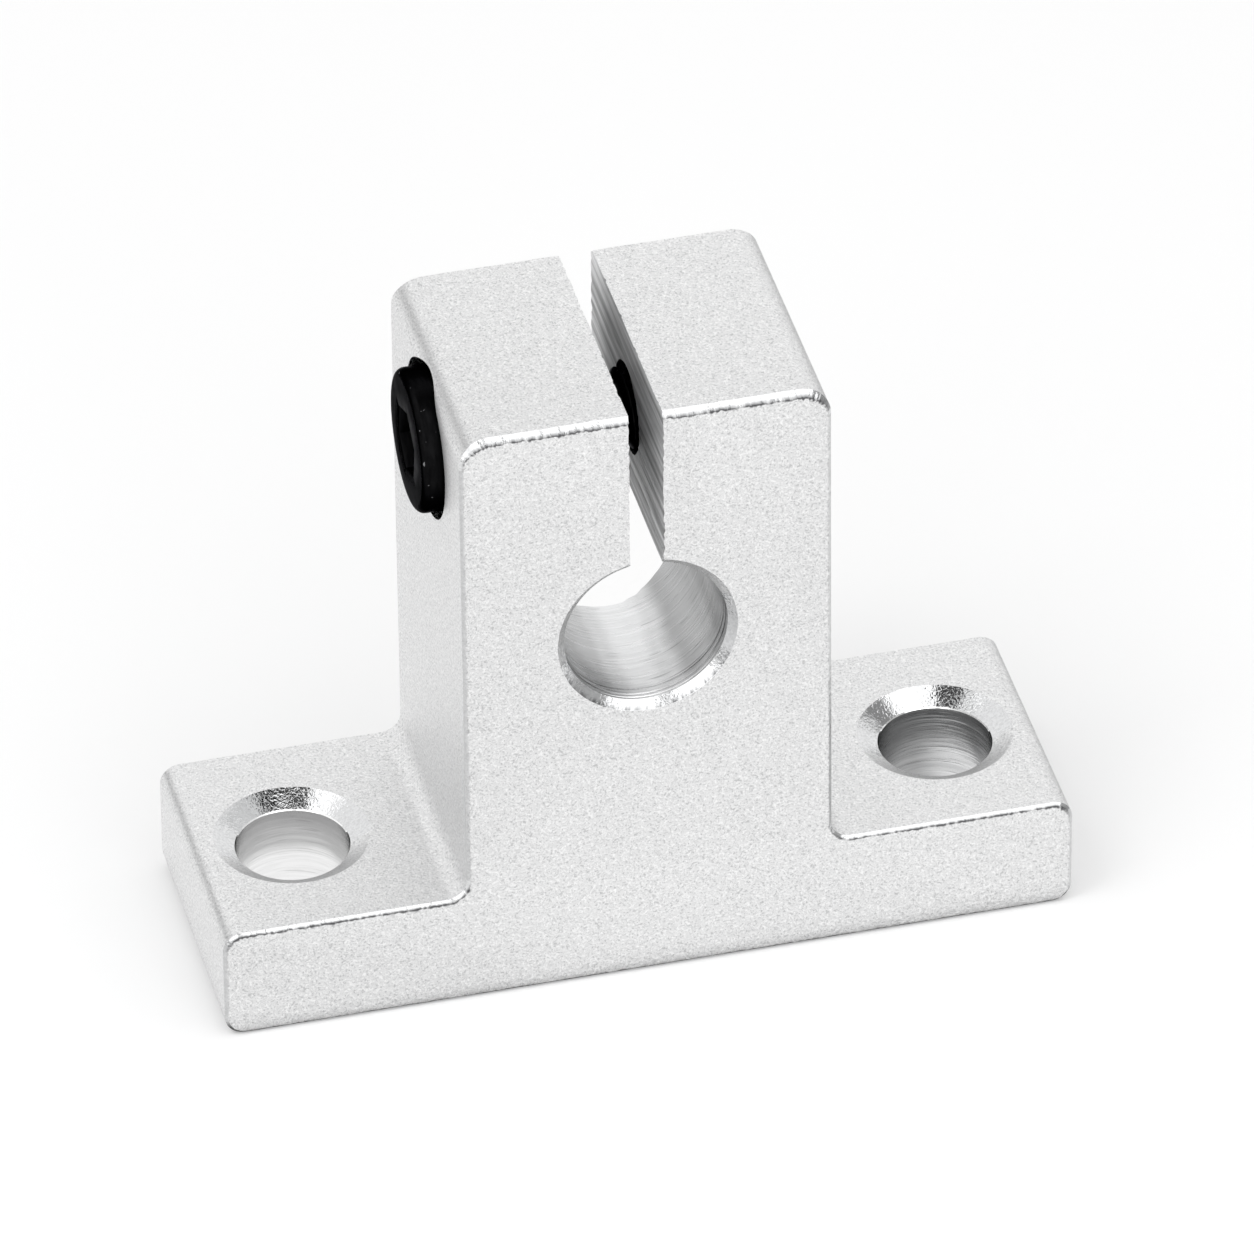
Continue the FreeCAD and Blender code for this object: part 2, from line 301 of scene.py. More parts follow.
def outline_row(inset, y):
    """The outline at a depth, drawn in by one distance or by one for each point."""
    return np.column_stack((x - out_x * inset, np.broadcast_to(y, x.shape), z - out_z * inset))


def near_corner(corner_x, corner_z, reach):
    return np.exp(-(((x - corner_x) ** 2 + (z - corner_z) ** 2) / reach**2))


# The burr is heaviest under the upper edges and at the four upper corners, faint elsewhere
corners = near_corner(half_width, block_top, 1.0) + near_corner(half_base, foot_top, 0.8)
corners += 0.6 * near_corner(-half_width, block_top, 1.0) + 0.6 * near_corner(-half_base, foot_top, 0.8)
burr_share = 0.14 + 0.60 * np.clip(out_z, 0, 1) + 0.5 * corners


def edge_rows(side):
    """From the flat face, over the burr and the bevel, to the side of the bar."""
    bite = bevel * np.clip(1 + 0.06 * ragged(ring_count, 1) + 0.04 * ragged(ring_count, 30), 0.85, 1.15)
    depth = bevel * np.clip(1 + 0.03 * ragged(ring_count, 30), 0.85, 1.15)
    dent = 0.002 * np.abs(ragged(ring_count, 2))
    burr = np.clip(burr_share * (1 + 0.30 * ragged(ring_count, 1) + 0.20 * ragged(ring_count, 12)), 0.05, 1)
    reach = burr_width * (0.55 + 0.6 * burr) * (1 + 0.9 * corners)
    reach *= np.clip(1 + 0.30 * ragged(ring_count, 1), 0.5, 1.7)
    return [
        outline_row(bite + reach, side * half_depth),
        outline_row(bite + 0.45 * reach, side * (half_depth - burr_depth * burr)),
        outline_row(bite, side * (half_depth - 0.9 * burr_depth * burr)),
        outline_row(0.5 * bite + dent, side * (half_depth - 0.5 * depth - dent)),
        outline_row(0.0, side * (half_depth - depth)),
        outline_row(0.0, side * (half_depth - depth - 0.1)),
    ]


blank_rows = edge_rows(-1)
blank_rows += [outline_row(0.0, y) for y in (-half_depth / 2, half_depth / 2)]
blank_rows += edge_rows(1)[::-1]
front_strips, back_strips = [0, 0, 1, 1], [1, 1, 0, 0]
side_strips = [0] * (len(blank_rows) - 1 - len(front_strips) - len(back_strips))
strips = front_strips + side_strips + back_strips
block = skin("block_body", blank_rows, [blasted, bright], strips)

# The bore for the shaft, bored through the bar and chamfered at both mouths. The tool left fine
# rings in its front half, coloured with painted reflections and shade in bands round the bore, and
# three deeper rings just inside the front mouth. Its rear half is honed as bright as a mirror.
shaft_height, bore_radius, bore_chamfer = 20.0, 4.0, 0.4
bore_sides = 288
overrun = 1.0

# Tool marks: lines that follow the long axis of a stretched pattern
tool_marks, given, result = start_effect(
    "tool_marks",
    [("Place", "NodeSocketVector", None)],
    ["Tone", "Height", "Scratches"],
)
bands = noise(tool_marks, given["Place"], 1.0, 3.0, 0.6)
lines = noise(tool_marks, given["Place"], 1.7, 1.0)
tool_marks.links.new(bands, result["Tone"])
tool_marks.links.new(sum_of(tool_marks, bands, product_of(tool_marks, lines, 0.4)), result["Height"])
tool_marks.links.new(stretch(tool_marks, lines, 0.33, 0.25), result["Scratches"])


def follow(tree, value, stops):
    """Reads a value off a smooth curve through a few stops."""
    ramp = put(tree, "ShaderNodeValToRGB", {0: value})
    ramp.color_ramp.interpolation = "EASE"
    points = ramp.color_ramp.elements
    while len(points) < len(stops):
        points.new(0.5)
    for point, (at, tone) in zip(points, stops):
        point.position = at
        point.color = (tone, tone, tone, 1.0)
    return ramp.outputs["Color"]


def machined(name, scale, base, roughness, depth_mm, streaked=0.82, scored=0.55, shade=None):
    """Aluminium with tool marks along the axis with the small scale, darker where the painted shade says.
    """
    made, tree, shader, in_mm = start_material(name, roughness)
    stretched = put(tree, "ShaderNodeMapping", {"Vector": in_mm, "Scale": scale}).outputs[0]
    marks = use_effect(tree, tool_marks, {"Place": stretched})
    share = stretch(tree, marks["Tone"], 0.35, 0.65)
    metal = blend_colour(tree, share, [streaked * part for part in base], base)
    metal = blend_colour(tree, marks["Scratches"], metal, [scored * part for part in base])
    # Painted shade, multiplied into the colour
    if shade:
        shading_inputs = {0: 1.0, 6: metal, 7: shade(tree, in_mm)}
        metal = put(tree, "ShaderNodeMix", shading_inputs, data_type="RGBA", blend_type="MULTIPLY").outputs[2]
    tree.links.new(metal, shader.inputs["Base Color"])
    tree.links.new(
        stretch(tree, marks["Tone"], 0.3, 0.7, roughness + 0.06, roughness - 0.06),
        shader.inputs["Roughness"],
    )
    raise_surface(tree, shader, marks["Height"], depth_mm)
    return made


def painted_bore_bands(tree, place):
    """Painted reflections and shade in bands, by the angle from the bore's lowest line: 0 at the left, 1 at
    the right.
    """
    spot = put(tree, "ShaderNodeSeparateXYZ", {0: place}).outputs
    below = maths(tree, "SUBTRACT", shaft_height, spot["Z"])
    angle = maths(tree, "ARCTAN2", spot["X"], below)
    wander = product_of(tree, noise(tree, place, 0.45, 2.0), 0.06)
    turn = sum_of(tree, stretch(tree, angle, -math.pi / 2, math.pi / 2), wander)
    # Painted reflections and shade: a tone for each angle round the bore
    lanes = (
        (0.03, 0.46),
        (0.27, 0.50),
        (0.38, 0.62),
        (0.44, 0.78),
        (0.51, 0.94),
        (0.59, 0.94),
        (0.65, 0.80),
        (0.73, 0.48),
        (0.80, 0.53),
        (0.88, 0.46),
        (0.94, 0.34),
        (1.0, 0.46),
    )
    return follow(tree, turn, lanes)


bored = machined(
    "bored_aluminium", (0.30, 8.0, 0.30), (0.95, 0.955, 0.96), 0.30, 0.008, 0.94, 0.45, painted_bore_bands
)
honed, tree, shader, in_mm = start_material("honed_aluminium", 0.06)
specks = use_effect(tree, bright_speckle, {"Place": in_mm, "Specks per mm": 2.0})
colour = blend_colour(tree, specks["Tone"], (0.97, 0.97, 0.97), (0.99, 0.99, 0.99))
tree.links.new(colour, shader.inputs["Base Color"])
tree.links.new(stretch(tree, specks["Tone"], 0.3, 0.7, 0.09, 0.04), shader.inputs["Roughness"])
raise_surface(tree, shader, specks["Height"], 0.002)


def turned_row(axis, centre, sides, along, radius):
    """A ring of points about an axis, with one radius or one for each point."""
    angle = np.linspace(0, 2 * math.pi, sides, endpoint=False)
    first, second = radius * np.cos(angle), radius * np.sin(angle)
    along = np.broadcast_to(along, angle.shape)
    columns = {
        "X": (along, centre[1] + first, centre[2] + second),
        "Y": (centre[0] + first, along, centre[2] + second),
        "Z": (centre[0] + first, centre[1] + second, along),
    }
    return np.column_stack(columns[axis])


def bore_row(y, radius):
    return turned_row("Y", (0.0, 0.0, shaft_height), bore_sides, y, radius)


def mouth_rows(side):
    """From outside the block down the chipped chamfer to the bore's wall."""
    chip = ragged(bore_sides, 1)
    rows = [bore_row(side * (half_depth + overrun), bore_radius + bore_chamfer + overrun)]
    for back_off, rough in ((-0.1, 0.004), (0.02, 0.006), (0.2, 0.004), (0.36, 0.002)):
        y = half_depth - back_off
        radius = bore_radius + bore_chamfer - back_off + rough * chip
        rows.append(bore_row(side * y, radius))
        chip = 0.6 * chip + 0.8 * ragged(bore_sides, 1)
    rows.append(bore_row(side * (half_depth - bore_chamfer), bore_radius))
    return rows


bore_rows = mouth_rows(-1)
mouth_strips = len(bore_rows) - 1
wall_from = -half_depth + bore_chamfer
deep_rings = (
    ((0.12, 0), (0.16, 0.03), (0.20, 0)),
    ((0.34, 0), (0.40, 0.035), (0.46, 0)),
    ((0.75, 0), (0.79, 0.02), (0.83, 0)),
)
for ring in deep_rings:
    for step, deeper in ring:
        bore_rows.append(bore_row(wall_from + step, bore_radius + deeper))
for y in np.arange(-5.4, 0.5, 0.3):
    bore_rows.append(bore_row(y, bore_radius + 0.002 * rng.normal()))
bored_strips = len(bore_rows) - mouth_strips
turn = np.linspace(0, 2 * math.pi, bore_sides, endpoint=False)
honed_from = 1.0 + 1.85 * np.maximum(0, np.cos(turn - math.radians(10))) ** 1.3
honed_from = honed_from + 0.02 * ragged(bore_sides, 4)
honed_radius, honed_to = bore_radius + 0.01, 6.5
bore_rows.append(bore_row(honed_from, bore_radius))
bore_rows.append(bore_row(honed_from + 0.04, honed_radius))
for share in (0.3, 0.6):
    bore_rows.append(bore_row(honed_from + share * (honed_to - honed_from), honed_radius))
bore_rows += mouth_rows(1)[::-1]
honed_strips = len(bore_rows) - 1 - bored_strips - 2 * mouth_strips
strips = [1] * mouth_strips + [0] * bored_strips + [2] * honed_strips + [1] * mouth_strips


def settle(piece, modifier):
    """Makes the modifier's result the piece's own mesh."""
    seen = piece.evaluated_get(bpy.context.evaluated_depsgraph_get())
    result_mesh = bpy.data.meshes.new_from_object(seen)
    piece.modifiers.remove(modifier)
    spent = piece.data
    piece.data = result_mesh
    bpy.data.meshes.remove(spent)


def cut(work, tool):
    """Takes the tool's shape out of the work, and gives the cut faces the tool's finish."""
    cutting = work.modifiers.new("cut", "BOOLEAN")
    cutting.operation = "DIFFERENCE"
    cutting.solver = "EXACT"
    cutting.material_mode = "TRANSFER"
    cutting.object = tool
    settle(work, cutting)
    spent = tool.data
    bpy.data.objects.remove(tool)
    bpy.data.meshes.remove(spent)


cut(block, skin("bore", bore_rows, [bored, bright, honed], strips))

# The slot, sawn down through the top into the bore, so that the two jaws can close on the shaft.
# The saw tore its walls rough and dull, with streaks along its path and nicks along the edges.
slot_width, saw_step = 1.65, 0.2


def place_on(tree, place, axis):
    return put(tree, "ShaderNodeSeparateXYZ", {0: place}).outputs[axis]


def painted_slot_shade(tree, place):
    """Painted shade: a little darker toward the back of the slot, lighter again at the very back."""
    wander = product_of(tree, noise(tree, place, 0.8, 2.0), 0.16)
    along = stretch(tree, place_on(tree, place, "Y"), -half_depth, half_depth)
    stops = ((0.05, 1.0), (0.50, 0.80), (0.80, 0.60), (1.0, 0.95))
    return follow(tree, sum_of(tree, along, wander), stops)


# The slot's walls carry painted shade, darker toward the back
sawn = machined(
    "sawn_aluminium", (2.6, 0.10, 2.6), (0.86, 0.865, 0.87), 0.50, 0.060, 0.45, 0.22, painted_slot_shade
)
sawn.node_tree.nodes["Principled BSDF"].inputs["Metallic"].default_value = 0.55
saw_y = np.arange(-half_depth - overrun, half_depth + overrun + 0.01, saw_step)
saw_z = np.arange(shaft_height + 1.0, block_top + overrun + 0.01, saw_step)
wave_passes, nick_depth, nick_share = 24, 0.05, 0.20


def saw_wall(side):
    """One wall of the slot as a grid of x: a row for each height, a column for each depth."""
    streak = 0.012 * rng.normal(size=(len(saw_z), 1))
    wave = rng.normal(size=(len(saw_z), len(saw_y)))
    for _ in range(wave_passes):
        wave[:, 1:-1] = (wave[:, :-2] + wave[:, 1:-1] + wave[:, 2:]) / 3
    wall = streak + 0.006 * wave / wave.std()
    at_face = np.abs(np.abs(saw_y) - half_depth) < 0.75 * saw_step
    at_top = np.abs(saw_z - block_top) < 0.75 * saw_step
    nicks = rng.random(wall.shape)
    nicked = (nicks > 1 - nick_share) & (at_face[None, :] | at_top[:, None])
    wall += np.where(nicked, nick_depth * nicks, 0.0)
    return side * (slot_width / 2 + wall)


right_wall, left_wall = saw_wall(1), saw_wall(-1)
saw_rows = []
for k, height in enumerate(saw_z):
    right_part = np.column_stack((right_wall[k], saw_y, np.full(len(saw_y), height)))
    left_part = np.column_stack((left_wall[k], saw_y, np.full(len(saw_y), height)))[::-1]
    saw_rows.append(np.vstack((right_part, left_part)))
cut(block, skin("slot", saw_rows, [sawn]))

# The two bolt holes in the feet, drilled through and countersunk from the top. The drill left
# rings down the wall. Painted shade darkens the wall below the countersink, and more in the right
# hole. A thin bright lip lies between the wall and the countersink.
bolt_spacing, bolt_radius, rim_radius, rim_angle = 32.0, 2.75, 3.8, 120.0
bolt_sides, lip_width = 160, 0.04


def down_the_wall(tree, place):
    """Painted shade: light low in the hole, darker in its upper half."""
    wander = product_of(tree, noise(tree, place, 0.6, 1.0), 0.08)
    height = stretch(tree, place_on(tree, place, "Z"), 0.0, foot_top)
    stops = ((0.0, 0.92), (0.50, 0.92), (0.54, 0.86), (0.63, 0.60), (0.72, 0.54), (0.95, 0.42))
    return follow(tree, sum_of(tree, height, wander), stops)


def round_the_wall(tree, place):
    """Painted shade: darker in the upper half too, and darkest at the side nearer the block."""
    middle = bolt_spacing / 2
    side = stretch(tree, place_on(tree, place, "X"), middle - bolt_radius, middle + bolt_radius)
    lean = follow(tree, side, ((0.10, 0.42), (0.42, 0.50), (0.80, 1.0), (1.0, 1.0)))
    return product_of(tree, down_the_wall(tree, place), lean)


drilled = machined(
    "drilled_aluminium", (0.3, 0.3, 6.0), (0.98, 0.98, 0.98), 0.20, 0.016, 0.94, 0.80, down_the_wall
)
# The right hole's wall has a darker colour too, as painted shade
darker_drilled = machined(
    "dry_drilled_aluminium", (0.3, 0.3, 5.0), (0.86, 0.865, 0.87), 0.24, 0.024, 0.78, 0.62, round_the_wall
)
rim_slope = math.tan(math.radians(rim_angle / 2))
rim_depth = (rim_radius - bolt_radius) / rim_slope
for side, wall_finish in ((-1, drilled), (1, darker_drilled)):
    centre = (side * bolt_spacing / 2, 0.0, 0.0)
    bolt_rows = [turned_row("Z", centre, bolt_sides, -overrun, bolt_radius)]
    ring_height = 0.15
    while ring_height < foot_top - rim_depth - 0.1:
        radius = bolt_radius + 0.005 * rng.normal()
        bolt_rows.append(turned_row("Z", centre, bolt_sides, ring_height, radius))
        ring_height += 0.08 + 0.12 * rng.random()
    wall_strips = len(bolt_rows)
    lip_height = foot_top - rim_depth - lip_width
    bolt_rows.append(turned_row("Z", centre, bolt_sides, lip_height, bolt_radius))
    for above in (lip_width, 0.3, 0.6, 0.9, 1.05, 1.8):
        radius = bolt_radius + (rim_radius - bolt_radius) * above
        height = foot_top - rim_depth + (radius - bolt_radius) / rim_slope
        chip = 0.003 * ragged(bolt_sides, 1) if 0.2 < above < 1.0 else 0.0
        bolt_rows.append(turned_row("Z", centre, bolt_sides, height, radius + chip))
    strips = [0] * wall_strips + [2] + [1] * (len(bolt_rows) - 2 - wall_strips)
    cut(block, skin("bolt_hole", bolt_rows, [wall_finish, bright, honed], strips))

# The thread, cut with a pitch of 0.7 mm on a diameter of 4 mm. The same form makes the screw's
# shank and the tap that cuts the far jaw: a rod whose radius follows a helix between root and crest.
thread_pitch, thread_crest, thread_root = 0.7, 2.0, 1.57
rows_per_turn = 14
rod_inputs = (
    ("Crest Radius", "NodeSocketFloat", thread_crest * MM),
    ("Root Radius", "NodeSocketFloat", thread_root * MM),
    ("Pitch", "NodeSocketFloat", thread_pitch * MM),
    ("Length", "NodeSocketFloat", 10.0 * MM),
    ("Point", "NodeSocketFloat", 0.0),
    ("Sides", "NodeSocketInt", 72),
    ("Rows", "NodeSocketInt", 180),
    ("Finish", "NodeSocketMaterial", None),
)
threaded_rod = bpy.data.node_groups.new("threaded_rod", "GeometryNodeTree")
for label, kind, value in rod_inputs:
    socket = threaded_rod.interface.new_socket(name=label, in_out="INPUT", socket_type=kind)
    if value is not None:
        socket.default_value = value
threaded_rod.interface.new_socket(name="Geometry", in_out="OUTPUT", socket_type="NodeSocketGeometry")
given = threaded_rod.nodes.new("NodeGroupInput").outputs
rod_sizes = {
    "Vertices": given["Sides"],
    "Side Segments": given["Rows"],
    "Radius": given["Crest Radius"],
    "Depth": given["Length"],
}
rod = put(threaded_rod, "GeometryNodeMeshCylinder", rod_sizes, fill_type="NGON")


def of_rod(operation, *values):
    return maths(threaded_rod, operation, *values)


here = put(threaded_rod, "GeometryNodeInputPosition").outputs[0]
spot = put(threaded_rod, "ShaderNodeSeparateXYZ", {0: here}).outputs
turns = of_rod("DIVIDE", of_rod("ARCTAN2", spot["Y"], spot["X"]), 2 * math.pi)
climb = of_rod("DIVIDE", spot["Z"], given["Pitch"])
phase = of_rod("FRACT", of_rod("SUBTRACT", climb, turns))
flank = of_rod("ABSOLUTE", of_rod("MULTIPLY_ADD", phase, 2.0, -1.0))
flank = stretch(threaded_rod, flank, 0.12, 0.80, given["Crest Radius"], given["Root Radius"])
from_end = of_rod("SUBTRACT", of_rod("MULTIPLY", given["Length"], 0.5), spot["Z"])
point = of_rod("SUBTRACT", given["Crest Radius"], of_rod("SUBTRACT", given["Point"], from_end))
shrink = of_rod("DIVIDE", of_rod("MINIMUM", flank, point), given["Crest Radius"])
moved = put(
    threaded_rod,
    "ShaderNodeCombineXYZ",
    {
        "X": of_rod("MULTIPLY", spot["X"], shrink),
        "Y": of_rod("MULTIPLY", spot["Y"], shrink),
        "Z": spot["Z"],
    },
)
shaping = {"Geometry": rod.outputs["Mesh"], "Position": moved.outputs[0]}
shaped = put(threaded_rod, "GeometryNodeSetPosition", shaping)
whole = put(threaded_rod, "GeometryNodeRealizeInstances", {"Geometry": shaped.outputs[0]})
finishing = {"Geometry": whole.outputs[0], "Material": given["Finish"]}
finished = put(threaded_rod, "GeometryNodeSetMaterial", finishing)
threaded_rod.links.new(finished.outputs[0], threaded_rod.nodes.new("NodeGroupOutput").inputs[0])


def make_thread(name, start, end, height, finish, **sizes):
    """A threaded rod along X from start to end, as a plain mesh."""
    holder = bpy.data.objects.new(name, bpy.data.meshes.new(name))
    bpy.context.scene.collection.objects.link(holder)
    making = holder.modifiers.new("thread", "NODES")
    making.node_group = threaded_rod
    sizes["Length"] = (end - start) * MM
    sizes["Rows"] = round((end - start) / thread_pitch * rows_per_turn)
    sizes["Finish"] = finish
    for item in threaded_rod.interface.items_tree:
        if item.in_out == "INPUT" and item.name in sizes:
            making[item.identifier] = sizes[item.name]
    settle(holder, making)
    middle = Matrix.Translation(((start + end) / 2 * MM, 0, height * MM))
    holder.data.transform(middle @ Matrix.Rotation(math.radians(90), 4, "Y"))
    return holder


# The hole for the clamp screw, across both jaws: a counterbore for the head in the left face, a
# clear hole up to the slot, and a tapped hole in the right jaw, opened a little at the slot so that
# its first thread can't lift a burr there. Along the shank its wall is painted black, as shade.
stepped = machined("counterbored_aluminium", (7.0, 0.4, 0.4), (0.86, 0.865, 0.87), 0.24, 0.030)
# Painted shade: the wall along the shank is near black
shade_black = machined("oiled_aluminium", (7.0, 0.4, 0.4), (0.06, 0.06, 0.06), 0.40, 0.030)
screw_height, seat_x = 28.3, -5.95
counterbore_radius, clear_radius, tapped_radius = 3.9, 2.25, 2.05
screw_tip_x, tap_start_x, tap_lead = 6.05, 6.25, 0.3
tap_drill_radius = thread_root + 0.03
mouth_radius, mouth_end_x = 2.3, 2.0
hole_centre = (0.0, 0.0, screw_height)
hole_profile = (
    (-half_width - overrun, counterbore_radius + 0.6),
    (-half_width - 0.4, counterbore_radius),
    (-half_width + 0.7, counterbore_radius - 0.003),
    (-half_width + 1.5, counterbore_radius + 0.003),
    (seat_x - 0.6, counterbore_radius - 0.002),
    (seat_x, counterbore_radius),
    (seat_x, clear_radius),
    (0.0, clear_radius),
    (0.0, mouth_radius),
    (mouth_end_x, mouth_radius),
    (mouth_end_x + mouth_radius - tapped_radius, tapped_radius),
    (tap_start_x, tapped_radius),
    (tap_start_x, tap_drill_radius),
    (half_width + tapped_radius - thread_root - tap_lead - 1.0, tap_drill_radius),
    (half_width - (tapped_radius + tap_lead - thread_root - 0.03), tap_drill_radius),
    (half_width + 0.5, tapped_radius + tap_lead + 0.5),
)
hole_sides = 144
hole_rows = [turned_row("X", hole_centre, hole_sides, along, radius) for along, radius in hole_profile]
middles = [(low[0] + high[0]) / 2 for low, high in zip(hole_profile, hole_profile[1:])]
strips = [1 if seat_x < middle < tap_start_x else 0 for middle in middles]
cut(block, skin("screw_hole", hole_rows, [stepped, shade_black], strips))
tap = make_thread(
    "tap",
    tap_start_x - 0.2,
    half_width + 0.4,
    screw_height,
    stepped,
    **{"Crest Radius": tapped_radius * MM, "Root Radius": thread_root * MM},
)
cut(block, tap)

# Painted shade, and the dirt in the bore's rim, are held in an attribute, so that the colours can
# follow them. The burr is painted darker where it lies deeper, as shade in its groove. Painted
# shade lies on the round corners, the side and lower bevels, the right of the bore's chamfer and
# the front of the countersinks, and dirt sits in the bore's rim.
spots = np.empty(3 * len(block.data.vertices))
block.data.vertices.foreach_get("co", spots)
across, along, up = (spots.reshape(-1, 3) / MM).T
# Painted shade in the burr's groove, darker where it lies deeper
from_face = (half_depth - np.abs(along)) / burr_depth
shade_and_dirt = np.where(from_face < 1.05, np.clip(1.3 * from_face, 0, 1), 0.0)


def darkening(where, amount):
    """The darkening so far, raised to an amount in the marked places."""
    return np.maximum(shade_and_dirt, np.where(where, amount, 0.0))


rounds = (
    (half_width - top_corner, block_top - top_corner, top_corner),
    (half_base - foot_corner, foot_top - foot_corner, foot_corner),
)
# Painted shade in a band along each round corner, at its own angle on each side
for round_x, round_z, radius in rounds:
    part_x, part_z = np.abs(across) - round_x, up - round_z
    from_top = np.degrees(np.arctan2(part_x, part_z))
    shade_amount_at, shade_amount_over = np.where(across < 0, 46, 58), np.where(across < 0, 11, 16)
    shade_amount = 0.34 * np.exp(-(((from_top - shade_amount_at) / shade_amount_over) ** 2))
    here = (part_x > 0) & (part_z > 0) & (np.abs(np.hypot(part_x, part_z) - radius) < 0.5)
    shade_and_dirt = darkening(here & (np.abs(along) < half_depth - 0.05), shade_amount)
from_axis, above_axis = np.hypot(across, up - shaft_height), (up - shaft_height) / bore_radius
in_mouth = (from_axis < bore_radius + bore_chamfer + 0.1) & (np.abs(along) < half_depth - 0.01)
in_mouth = in_mouth & (np.abs(along) > half_depth - bore_chamfer - 0.01)
# Painted shade on the right of the bore's chamfer, round the height of the axis
shade_amount = 0.38 * np.clip(1 + 1.5 * above_axis, 0, 1) * np.clip(across, 0, 1)
shade_and_dirt = darkening(in_mouth, shade_amount * np.clip(1.5 - 3 * above_axis, 0, 1))
# Dirt in random specks in the lower part of the bore's rim
at_rim = in_mouth & (np.abs(along) > half_depth - 0.03) & (above_axis < -0.4)
shade_and_dirt = darkening(at_rim, rng.random(len(shade_and_dirt)) ** 1.5)
# Painted shade on the bevels of the sides, the ends and the bottom
on_bevel = (np.abs(along) > half_depth - edge_break - 0.02) & (np.abs(along) < half_depth - 0.035)
between_corners = (up > foot_top + inner_corner) & (up < block_top - top_corner)
at_side = (np.abs(np.abs(across) - half_width) < 0.2) & between_corners
at_end = (np.abs(across) > half_base - 0.2) | (up < 0.2)
shade_and_dirt = darkening(on_bevel & (at_side | at_end), 0.24)
# Painted shade on the front of the countersinks
from_hole = np.hypot(np.abs(across) - bolt_spacing / 2, along)
in_rim = (from_hole < rim_radius + 0.02) & (up > foot_top - rim_depth - 0.01) & (up < foot_top - 0.01)
shade_and_dirt = darkening(in_rim, 0.35 * np.clip(-1.5 * along / bolt_radius - 0.3, 0, 1))
block.data.attributes.new("shade_and_dirt", "FLOAT", "POINT").data.foreach_set("value", shade_and_dirt)

# The blasting reached into the bore's chamfers at the left and in the upper part, and into the front
# of the two countersinks, and dulled them
middles, finishes = np.empty(3 * len(block.data.polygons)), np.empty(len(block.data.polygons), int)
block.data.polygons.foreach_get("center", middles)
block.data.polygons.foreach_get("material_index", finishes)
across, along, up = (middles.reshape(-1, 3) / MM).T
from_axis = np.hypot(across, up - shaft_height)
in_chamfer = (from_axis > bore_radius + 0.01) & (from_axis < bore_radius + bore_chamfer)
in_chamfer = in_chamfer & (np.abs(along) > half_depth - bore_chamfer) & (np.abs(along) < half_depth - 0.002)
dulled = in_chamfer & (up > shaft_height + np.where(across < 0, -1.0, 1.6))
from_hole = np.hypot(np.abs(across) - bolt_spacing / 2, along)
in_rim = (from_hole < rim_radius) & (up > foot_top - rim_depth) & (up < foot_top - 0.005)
dulled = dulled | (in_rim & (along < -0.2 * bolt_radius))
finishes[dulled] = [finish.name for finish in block.data.materials].index(blasted.name)
block.data.polygons.foreach_set("material_index", finishes)


def set_shading(piece, sharp_angle):
    """Smooth shading, broken where two faces meet at more than the angle."""
    mesh = piece.data
    mesh.polygons.foreach_set("use_smooth", [True] * len(mesh.polygons))
    mesh.set_sharp_from_angle(angle=math.radians(sharp_angle))


set_shading(block, 14)
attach(block, "block")
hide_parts("support_block")

# The clamp screw: an M4 socket head cap screw, 12 mm long, in black oxide steel. The head is upset
# and turned with a rounded rim, the socket is punched into a drilled hole, and the thread is rolled.
head_radius, head_height, head_rim, head_root = 3.5, 4.0, 0.4, 0.2
socket_flats, socket_depth, socket_turn, drill_radius, drill_point = 3.0, 2.0, -8.0, 1.4, 120.0
head_sides, face_ring_radius, seat_ring_radius = 120, 2.4, 2.2

black_oxide, tree, shader, in_mm = start_material("black_oxide", 0.36)
shader.inputs["Specular Tint"].default_value = (0.22, 0.22, 0.23, 1.0)
turned = put(tree, "ShaderNodeMapping", {"Vector": in_mm, "Scale": (3.5, 0.9, 0.9)}).outputs[0]
marks = use_effect(tree, tool_marks, {"Place": turned})
specks = use_effect(tree, bright_speckle, {"Place": in_mm, "Specks per mm": 3.0})
share = stretch(tree, marks["Tone"], 0.3, 0.7)
black = blend_colour(tree, share, (0.003, 0.003, 0.0033), (0.009, 0.009, 0.0095))
black = blend_colour(tree, stretch(tree, specks["Tone"], 0.74, 0.80), black, (0.30, 0.30, 0.31))
tree.links.new(black, shader.inputs["Base Color"])
tree.links.new(stretch(tree, marks["Tone"], 0.3, 0.7, 0.42, 0.30), shader.inputs["Roughness"])
raise_surface(tree, shader, marks["Height"], 0.010)

turn = np.linspace(0, 2 * math.pi, head_sides, endpoint=False)
flat_turn = np.degrees(turn) % 60 - 30
hexagon = socket_flats / 2 / np.cos(np.radians(flat_turn))
face_x = seat_x - head_height


def head_row(along, radius):
    """A ring about the screw's axis that starts at a corner of the socket."""
    angle = turn + math.radians(socket_turn)
    return np.column_stack(
        (
            np.broadcast_to(along, angle.shape),
            radius * np.sin(angle),
            screw_height + radius * np.cos(angle),
        )
    )


